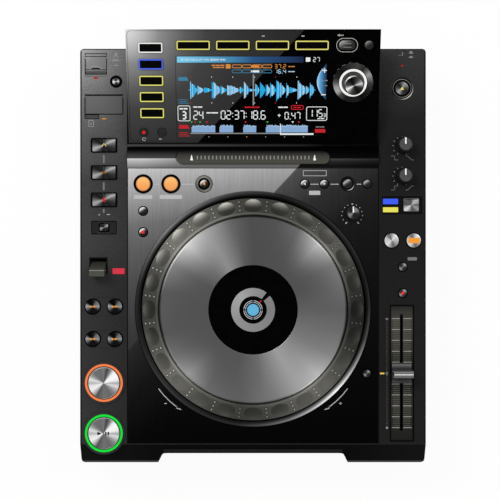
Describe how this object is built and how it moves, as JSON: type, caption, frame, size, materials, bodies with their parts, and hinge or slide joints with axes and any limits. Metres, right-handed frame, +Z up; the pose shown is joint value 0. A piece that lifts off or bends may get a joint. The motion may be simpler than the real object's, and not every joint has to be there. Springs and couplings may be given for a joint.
{
  "type": "tabletop disc player",
  "caption": "Flat tabletop disc player for DJs, with a jog wheel, tilted screen, transport buttons, tempo slider, disc slot and socket doors.",
  "frame": {"origin": "under the middle of the player, on the surface that the feet stand on", "axes": "+X to the right of the person playing, +Y to the rear, +Z up"},
  "size_m": [0.32, 0.3954, 0.1067],
  "materials": {
    "charcoal": "satin charcoal moulding",
    "brushed": "brushed",
    "black": "fine matt",
    "gloss_black": "polished",
    "screen": "polished",
    "steel": "spun",
    "chassis": "black powder coat",
    "drive": "plain",
    "dark_key": "satin",
    "orange_key": "translucent",
    "silver": "silver lacquer",
    "rubber": "matt",
    "circuit": "solder mask"
  },
  "bodies": {
    "player": {"lower_chassis": "chassis", "upper_cabinet": "charcoal", "centre_panel": "brushed", "front_panel": "black", "display_housing": "black", "display_panel": "gloss_black", "lcd_module": "screen", "jog_hub": "gloss_black", "disc_drive": "drive", "main_board": "circuit", "socket_carrier": "black", "needle_pad": "gloss_black", "rear_panel": "chassis", "foot_front_left": "rubber", "foot_front_right": "rubber", "foot_rear_left": "rubber", "foot_rear_right": "rubber"},
    "usb_stop_button": {"usb_stop_button": "dark_key"},
    "track_search_back": {"track_search_back": "dark_key"},
    "track_search_forward": {"track_search_forward": "dark_key"},
    "search_back": {"search_back": "dark_key"},
    "search_forward": {"search_forward": "dark_key"},
    "cue_button": {"cue_button": "steel"},
    "play_button": {"play_button": "steel"},
    "loop_in_button": {"loop_in_button": "orange_key"},
    "loop_out_button": {"loop_out_button": "orange_key"},
    "reloop_button": {"reloop_button": "dark_key"},
    "loop_mode_button": {"loop_mode_button": "dark_key"},
    "slip_button": {"slip_button": "dark_key"},
    "call_back_button": {"call_back_button": "dark_key"},
    "call_forward_button": {"call_forward_button": "dark_key"},
    "delete_button": {"delete_button": "dark_key"},
    "memory_button": {"memory_button": "dark_key"},
    "tempo_reset_button": {"tempo_reset_button": "dark_key"},
    "eject_button": {"eject_button": "dark_key"},
    "sync_button": {"sync_button": "dark_key"},
    "master_button": {"master_button": "dark_key"},
    "tempo_range_button": {"tempo_range_button": "dark_key"},
    "master_tempo_button": {"master_tempo_button": "dark_key"},
    "hot_cue_a": {"hot_cue_a": "dark_key"},
    "hot_cue_b": {"hot_cue_b": "dark_key"},
    "hot_cue_c": {"hot_cue_c": "dark_key"},
    "recall_key": {"recall_key": "dark_key"},
    "jog_mode_button": {"jog_mode_button": "dark_key"},
    "source_keys": {"source_keys": "dark_key"},
    "menu_keys": {"menu_keys": "dark_key"},
    "back_key": {"back_key": "dark_key"},
    "tag_key": {"tag_key": "dark_key"},
    "mode_keys": {"mode_keys": "dark_key"},
    "power_button": {"power_button": "dark_key"},
    "usb_door": {"usb_door": "dark_key"},
    "sd_door": {"sd_door": "dark_key"},
    "direction_lever": {"direction_lever": "silver"},
    "brake_knob": {"brake_knob": "black"},
    "start_knob": {"start_knob": "black"},
    "jog_adjust_knob": {"jog_adjust_knob": "black"},
    "selector_dial": {"selector_dial": "silver"},
    "jog_wheel": {"jog_wheel": "black"},
    "jog_plate": {"jog_plate": "steel"},
    "tempo_slider": {"tempo_slider": "black"}
  },
  "joints": [
    {"name": "usb_stop_button_press", "type": "slide", "parent": "player", "child": "usb_stop_button", "axis": [0, 0, -1], "range_m": [0, 0.0006], "stiffness_N_per_m": 300},
    {"name": "track_search_back_press", "type": "slide", "parent": "player", "child": "track_search_back", "axis": [0, 0, -1], "range_m": [0, 0.0008], "stiffness_N_per_m": 400},
    {"name": "track_search_forward_press", "type": "slide", "parent": "player", "child": "track_search_forward", "axis": [0, 0, -1], "range_m": [0, 0.0008], "stiffness_N_per_m": 400},
    {"name": "search_back_press", "type": "slide", "parent": "player", "child": "search_back", "axis": [0, 0, -1], "range_m": [0, 0.0008], "stiffness_N_per_m": 400},
    {"name": "search_forward_press", "type": "slide", "parent": "player", "child": "search_forward", "axis": [0, 0, -1], "range_m": [0, 0.0008], "stiffness_N_per_m": 400},
    {"name": "cue_button_press", "type": "slide", "parent": "player", "child": "cue_button", "axis": [0, 0, -1], "range_m": [0, 0.001], "stiffness_N_per_m": 800},
    {"name": "play_button_press", "type": "slide", "parent": "player", "child": "play_button", "axis": [0, 0, -1], "range_m": [0, 0.001], "stiffness_N_per_m": 800},
    {"name": "loop_in_button_press", "type": "slide", "parent": "player", "child": "loop_in_button", "axis": [0, 0, -1], "range_m": [0, 0.0008], "stiffness_N_per_m": 400},
    {"name": "loop_out_button_press", "type": "slide", "parent": "player", "child": "loop_out_button", "axis": [0, 0, -1], "range_m": [0, 0.0008], "stiffness_N_per_m": 400},
    {"name": "reloop_button_press", "type": "slide", "parent": "player", "child": "reloop_button", "axis": [0, 0, -1], "range_m": [0, 0.0006], "stiffness_N_per_m": 300},
    {"name": "loop_mode_button_press", "type": "slide", "parent": "player", "child": "loop_mode_button", "axis": [0, 0, -1], "range_m": [0, 0.0006], "stiffness_N_per_m": 300},
    {"name": "slip_button_press", "type": "slide", "parent": "player", "child": "slip_button", "axis": [0, 0, -1], "range_m": [0, 0.0006], "stiffness_N_per_m": 300},
    {"name": "call_back_button_press", "type": "slide", "parent": "player", "child": "call_back_button", "axis": [0, 0, -1], "range_m": [0, 0.0006], "stiffness_N_per_m": 300},
    {"name": "call_forward_button_press", "type": "slide", "parent": "player", "child": "call_forward_button", "axis": [0, 0, -1], "range_m": [0, 0.0006], "stiffness_N_per_m": 300},
    {"name": "delete_button_press", "type": "slide", "parent": "player", "child": "delete_button", "axis": [0, 0, -1], "range_m": [0, 0.0006], "stiffness_N_per_m": 300},
    {"name": "memory_button_press", "type": "slide", "parent": "player", "child": "memory_button", "axis": [0, 0, -1], "range_m": [0, 0.0006], "stiffness_N_per_m": 300},
    {"name": "tempo_reset_button_press", "type": "slide", "parent": "player", "child": "tempo_reset_button", "axis": [0, 0, -1], "range_m": [0, 0.0006], "stiffness_N_per_m": 300},
    {"name": "eject_button_press", "type": "slide", "parent": "player", "child": "eject_button", "axis": [0, 0, -1], "range_m": [0, 0.0008], "stiffness_N_per_m": 400},
    {"name": "sync_button_press", "type": "slide", "parent": "player", "child": "sync_button", "axis": [0, 0, -1], "range_m": [0, 0.0008], "stiffness_N_per_m": 400},
    {"name": "master_button_press", "type": "slide", "parent": "player", "child": "master_button", "axis": [0, 0, -1], "range_m": [0, 0.0008], "stiffness_N_per_m": 400},
    {"name": "tempo_range_button_press", "type": "slide", "parent": "player", "child": "tempo_range_button", "axis": [0, 0, -1], "range_m": [0, 0.0006], "stiffness_N_per_m": 300},
    {"name": "master_tempo_button_press", "type": "slide", "parent": "player", "child": "master_tempo_button", "axis": [0, 0, -1], "range_m": [0, 0.0006], "stiffness_N_per_m": 300},
    {"name": "hot_cue_a_press", "type": "slide", "parent": "player", "child": "hot_cue_a", "axis": [0, 0, -1], "range_m": [0, 0.0008], "stiffness_N_per_m": 400},
    {"name": "hot_cue_b_press", "type": "slide", "parent": "player", "child": "hot_cue_b", "axis": [0, 0, -1], "range_m": [0, 0.0008], "stiffness_N_per_m": 400},
    {"name": "hot_cue_c_press", "type": "slide", "parent": "player", "child": "hot_cue_c", "axis": [0, 0, -1], "range_m": [0, 0.0008], "stiffness_N_per_m": 400},
    {"name": "recall_key_press", "type": "slide", "parent": "player", "child": "recall_key", "axis": [0, 0, -1], "range_m": [0, 0.0005], "stiffness_N_per_m": 300},
    {"name": "jog_mode_button_press", "type": "slide", "parent": "player", "child": "jog_mode_button", "axis": [0, 0, -1], "range_m": [0, 0.0007], "stiffness_N_per_m": 400},
    {"name": "source_keys_press", "type": "slide", "parent": "player", "child": "source_keys", "axis": [0, 0.3371, -0.9415], "range_m": [0, 0.0006], "stiffness_N_per_m": 600},
    {"name": "menu_keys_press", "type": "slide", "parent": "player", "child": "menu_keys", "axis": [0, 0.3371, -0.9415], "range_m": [0, 0.0006], "stiffness_N_per_m": 600},
    {"name": "back_key_press", "type": "slide", "parent": "player", "child": "back_key", "axis": [0, 0.3371, -0.9415], "range_m": [0, 0.0006], "stiffness_N_per_m": 300},
    {"name": "tag_key_press", "type": "slide", "parent": "player", "child": "tag_key", "axis": [0, 0.3371, -0.9415], "range_m": [0, 0.0006], "stiffness_N_per_m": 300},
    {"name": "mode_keys_press", "type": "slide", "parent": "player", "child": "mode_keys", "axis": [0, 0.3371, -0.9415], "range_m": [0, 0.0006], "stiffness_N_per_m": 400},
    {"name": "power_button_press", "type": "slide", "parent": "player", "child": "power_button", "axis": [0, -1, 0], "range_m": [0, 0.002], "stiffness_N_per_m": 300},
    {"name": "usb_door_hinge", "type": "hinge", "parent": "player", "child": "usb_door", "pos_m": [-0.14569, 0.17885, 0.0649], "axis": [-1, 0, 0], "range_deg": [0, 90]},
    {"name": "sd_door_hinge", "type": "hinge", "parent": "player", "child": "sd_door", "pos_m": [-0.13812, 0.14255, 0.0649], "axis": [-1, 0, 0], "range_deg": [0, 90]},
    {"name": "direction_lever_tip", "type": "hinge", "parent": "player", "child": "direction_lever", "pos_m": [-0.14316, -0.01362, 0.0603], "axis": [1, 0, 0], "range_deg": [-40, 0]},
    {"name": "brake_knob_turn", "type": "hinge", "parent": "player", "child": "brake_knob", "pos_m": [0.13974, 0.09765, 0.0665], "axis": [0, 0, 1], "range_deg": [-150, 150]},
    {"name": "start_knob_turn", "type": "hinge", "parent": "player", "child": "start_knob", "pos_m": [0.13974, 0.0691, 0.0665], "axis": [0, 0, 1], "range_deg": [-150, 150]},
    {"name": "jog_adjust_knob_turn", "type": "hinge", "parent": "player", "child": "jog_adjust_knob", "pos_m": [0.09219, 0.03471, 0.0665], "axis": [0, 0, 1], "range_deg": [-150, 150]},
    {"name": "selector_dial_turn", "type": "hinge", "parent": "player", "child": "selector_dial", "pos_m": [0.09049, 0.15232, 0.09033], "axis": [0, -0.3371, 0.9415], "continuous": true},
    {"name": "jog_wheel_turn", "type": "hinge", "parent": "player", "child": "jog_wheel", "pos_m": [0, -0.05401, 0.0665], "axis": [0, 0, 1], "continuous": true},
    {"name": "jog_plate_press", "type": "slide", "parent": "jog_wheel", "child": "jog_plate", "axis": [0, 0, -1], "range_m": [0, 0.0003], "stiffness_N_per_m": 20000},
    {"name": "tempo_slider_slide", "type": "slide", "parent": "player", "child": "tempo_slider", "axis": [0, 1, 0], "range_m": [-0.05, 0.05]}
  ]
}
